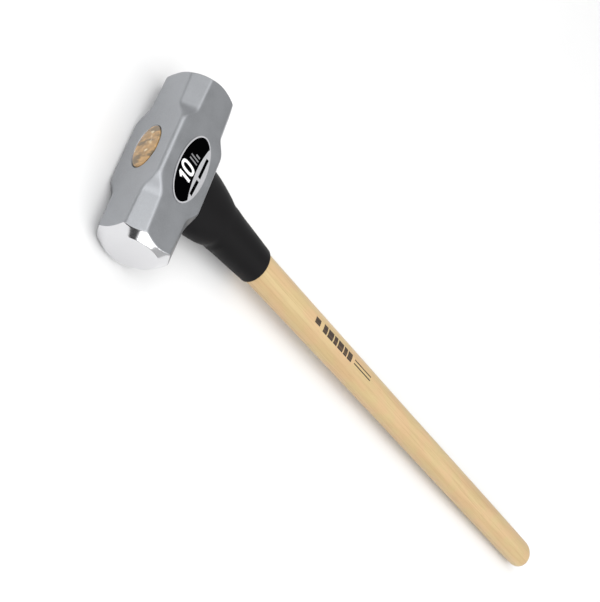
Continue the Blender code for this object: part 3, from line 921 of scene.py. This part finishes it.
class SLEDGE_OT_label(Operator):
    """Print the oval label with its plain marks and the weight in figures"""

    bl_idname = "sledge.label"
    bl_label = "Cheek label"

    def oval(self, half_x, half_y, centre, turn, count=128, power=1.0):
        """Corners of a turned oval; a power under 1 squares it."""
        corners = []
        for index in range(count):
            around = 2 * math.pi * index / count
            x, y = math.cos(around), math.sin(around)
            x, y = half_x * math.copysign(abs(x) ** power, x), half_y * math.copysign(abs(y) ** power, y)
            corners.append((
                centre[0] + x * math.cos(turn) - y * math.sin(turn),
                centre[1] + x * math.sin(turn) + y * math.cos(turn),
            ))
        return corners

    def execute(self, context):
        settings = context.scene.sledge_label
        middle = (LABEL_LOW + LABEL_HIGH) / 2
        step = settings.ink_step
        film_top = LABEL_HIGH.z - 3 * step
        centre = (middle.x, middle.y)
        turn = settings.turn

        def layer(bm, outline, rank, ink):
            for face in plate(bm, outline, film_top - step, step * (1 + rank)):
                face.material_index = ink

        bm = bmesh.new()
        oval = self.oval(settings.half_height, settings.half_length, centre, turn)
        plate(bm, oval, LABEL_LOW.z, film_top - LABEL_LOW.z)
        for face in bm.faces:
            face.material_index = SILVER
        top = [face for face in bm.faces if min(vertex.co.z for vertex in face.verts) > film_top - 1e-7]
        bmesh.ops.inset_region(bm, faces=top, thickness=settings.rim, use_even_offset=True)
        for face in top:
            face.material_index = BLACK
        layer(bm, self.band(settings, centre, turn), 1, SILVER)
        layer(bm, self.one(centre, turn), 1, WHITE)
        for outline in self.strokes(centre, turn):
            layer(bm, outline, 1, GREY)
        for outline in self.bars(centre, turn):
            layer(bm, outline, 2, BLACK)
        for face in self.nought(bm, centre, turn, film_top, step):
            face.material_index = WHITE
        outward(bm)
        label = to_object(bm, "oval_label")
        inks = [
            label_ink("label_black", settings.black_colour, 0.30, gloss=0.0),
            label_ink("label_silver", settings.silver_colour, 0.34, 0.6),
            label_ink("label_white", settings.white_colour, 0.35),
            label_ink("label_grey", settings.grey_colour, 0.35),
        ]
        hand_over(label, ["cheek_label"], inks)
        return {'FINISHED'}

    def band(self, settings, centre, turn):
        """The lens between the band's curved border and the inside of the rim."""
        crown_x, crown_y = settings.band_place
        radius = settings.band_radius
        inner = self.oval(
            settings.half_height - settings.rim, settings.half_length - settings.rim, centre, turn, 256)

        def past_border(x, y):
            return math.hypot(x - crown_x - radius, y - crown_y) < radius

        lower = [corner for corner in inner if past_border(*corner)]
        lower.sort(key=lambda corner: corner[1])
        border = []
        for y in spread(lower[-1][1], lower[0][1], 40)[1:-1]:
            border.append((crown_x + radius - math.sqrt(radius**2 - (y - crown_y) ** 2), y))
        return lower + border

    def set_out(self, corners, centre, turn):
        """Corners given in millimetres down and along the label, turned with it."""
        cos, sin = math.cos(turn), math.sin(turn)
        return [
            (centre[0] + (x * cos - y * sin) * MM, centre[1] + (x * sin + y * cos) * MM) for x, y in corners
        ]

    def one(self, centre, turn):
        """A plain figure one."""
        corners = ((-12.3, -10.6), (-12.3, -13.4), (-8.8, -16.6), (-6.8, -15.2), (-8.0, -13.5), (3.4, -13.5),
                   (3.4, -10.3))
        return self.set_out(corners, centre, turn)

    def strokes(self, centre, turn):
        """Three plain strokes after the nought."""
        strokes = ((-8.6, 6.2, 1.5), (-8.6, 10.0, 1.5), (-3.2, 13.6, 1.8))
        return [
            self.set_out(((x, y), (2.4, y), (2.4, y + width), (x, y + width)), centre, turn)
            for x, y, width in strokes
        ]

    def nought(self, bm, centre, turn, film_top, step):
        """An oval ring raised to a plate."""
        before = set(bm.faces)
        outer, inner = (9.3, 5.1), (6.3, 2.3)
        rings = []
        for half_widths in (outer, inner):
            oval = self.oval(*half_widths, (-5.3, -2.9), 0.0, count=48, power=0.75)
            laid = self.set_out(oval, centre, turn)
            corners = [bm.verts.new((*corner, film_top - step)) for corner in laid]
            rings += [bm.edges.new(pair) for pair in zip(corners, corners[1:] + corners[:1])]
        thicken(bm, bmesh.ops.bridge_loops(bm, edges=rings)["faces"], 2 * step)
        return [face for face in bm.faces if face not in before]

    def bars(self, centre, turn):
        """Plain dark bars along the band."""
        bars = [((9.2, -20.6), (12.6, -20.9), (13.0, -3.9), (9.6, -3.9)),
                ((9.6, -0.6), (13.0, -0.6), (12.4, 21.6), (9.2, 21.4))]
        return [self.set_out(corners, centre, turn) for corners in bars]


class SLEDGE_OT_stage(Operator):
    """Lay the floor, hang the softboxes and set up the camera"""

    bl_idname = "sledge.stage"
    bl_label = "Stage"

    def execute(self, context):
        settings = context.scene.sledge_stage
        self.lay_floor(settings)
        self.light(context, settings)
        self.set_camera(context, settings)
        return {'FINISHED'}

    def lay_floor(self, settings):
        """A flat pale floor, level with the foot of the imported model."""
        bm = bmesh.new()
        bmesh.ops.create_grid(bm, x_segments=8, y_segments=8, size=settings.floor_size / 2)
        floor = to_object(bm, "studio_floor")
        floor.data.materials.append(floor_finish(settings.floor_colour))

    def light(self, context, settings):
        """Light the room and hang the softboxes; the front one leans towards the hammer."""
        self.light_room(context, settings)
        boxes = {}
        for name, (size, place) in SOFTBOXES.items():
            boxes[name] = self.hang("softbox_" + name, getattr(settings, name + "_brightness"), size, place)
        boxes["front"].rotation_euler = (-boxes["front"].location).to_track_quat('-Z', 'Y').to_euler()
        context.scene.view_settings.view_transform = 'Standard'

    def light_room(self, context, settings):
        """An even room with one unlit side."""
        world = bpy.data.worlds.new("studio")
        world.use_nodes = True
        nodes, links = world.node_tree.nodes, world.node_tree.links
        room = nodes["Background"]
        room.inputs["Color"].default_value = (1.0, 1.0, 1.0, 1.0)
        place = nodes.new('ShaderNodeTexCoord')
        facing = nodes.new('ShaderNodeVectorMath')
        facing.operation = 'DOT_PRODUCT'
        facing.inputs[1].default_value = Vector(settings.dark_side).normalized()
        links.new(place.outputs["Generated"], facing.inputs[0])
        level = nodes.new('ShaderNodeMapRange')
        level.interpolation_type = 'SMOOTHSTEP'
        edges = (math.cos(settings.dark_reach), math.cos(settings.dark_core),
                 settings.room_brightness, settings.dark_brightness)
        for index, value in enumerate(edges, 1):
            level.inputs[index].default_value = value
        links.new(facing.outputs["Value"], level.inputs[0])
        links.new(level.outputs[0], room.inputs["Strength"])
        context.scene.world = world

    def hang(self, name, brightness, size, place):
        """A softbox that faces the floor."""
        lamp = bpy.data.lights.new(name, 'AREA')
        lamp.shape = 'RECTANGLE'
        lamp.size, lamp.size_y = size
        lamp.energy = brightness * math.pi * size[0] * size[1]
        softbox = bpy.data.objects.new(name, lamp)
        softbox.location = place
        bpy.context.scene.collection.objects.link(softbox)
        return softbox

    def set_camera(self, context, settings):
        """Look at the hammer along the set line of sight."""
        start = HAMMER @ Vector(settings.camera_from)
        aim = HAMMER @ Vector(settings.camera_aim)
        forward = (HAMMER.to_3x3().transposed() @ (aim - start)).normalized()
        level = forward.cross(Vector((0, 0, 1))).normalized()
        rise = level.cross(forward)
        roll = settings.camera_roll
        right = level * math.cos(roll) + rise * math.sin(roll)
        up = rise * math.cos(roll) - level * math.sin(roll)
        turned = HAMMER.to_3x3() @ Matrix((right, up, -forward)).transposed()
        lens = bpy.data.cameras.new("camera")
        lens.lens = settings.camera_lens
        lens.sensor_width = 36.0
        lens.clip_start = 0.01
        camera = bpy.data.objects.new("camera", lens)
        camera.matrix_world = Matrix.Translation(start) @ turned.to_4x4()
        context.scene.collection.objects.link(camera)
        context.scene.camera = camera


class SLEDGE_PT_panel(Panel):
    """The hammer's pieces, in the order they are built"""

    bl_idname = "SLEDGE_PT_panel"
    bl_label = "Sledge hammer"
    bl_space_type = 'VIEW_3D'
    bl_region_type = 'UI'
    bl_category = "Hammer"

    def draw(self, context):
        for operator, group in BUILD_ORDER:
            box = self.layout.box()
            box.operator(operator.bl_idname)
            settings = getattr(context.scene, group)
            for name in settings.__annotations__:
                box.prop(settings, name)


SETTINGS = {
    "sledge_head": HeadSettings,
    "sledge_handle": HandleSettings,
    "sledge_sleeve": SleeveSettings,
    "sledge_wedges": WedgeSettings,
    "sledge_label": LabelSettings,
    "sledge_stage": StageSettings,
}
BUILD_ORDER = (
    (SLEDGE_OT_head, "sledge_head"),
    (SLEDGE_OT_handle, "sledge_handle"),
    (SLEDGE_OT_print, "sledge_handle"),
    (SLEDGE_OT_sleeve, "sledge_sleeve"),
    (SLEDGE_OT_wedges, "sledge_wedges"),
    (SLEDGE_OT_resin, "sledge_wedges"),
    (SLEDGE_OT_label, "sledge_label"),
    (SLEDGE_OT_stage, "sledge_stage"),
)


def register():
    for group, settings in SETTINGS.items():
        bpy.utils.register_class(settings)
        setattr(bpy.types.Scene, group, PointerProperty(type=settings))
    for operator, _ in BUILD_ORDER:
        bpy.utils.register_class(operator)
    bpy.utils.register_class(SLEDGE_PT_panel)


def unregister():
    bpy.utils.unregister_class(SLEDGE_PT_panel)
    for operator, _ in reversed(BUILD_ORDER):
        bpy.utils.unregister_class(operator)
    for group, settings in reversed(SETTINGS.items()):
        delattr(bpy.types.Scene, group)
        bpy.utils.unregister_class(settings)


def main():
    register()
    for operator, _ in BUILD_ORDER:
        group, name = operator.bl_idname.split(".")
        getattr(getattr(bpy.ops, group), name)()


if __name__ == "__main__":
    main()
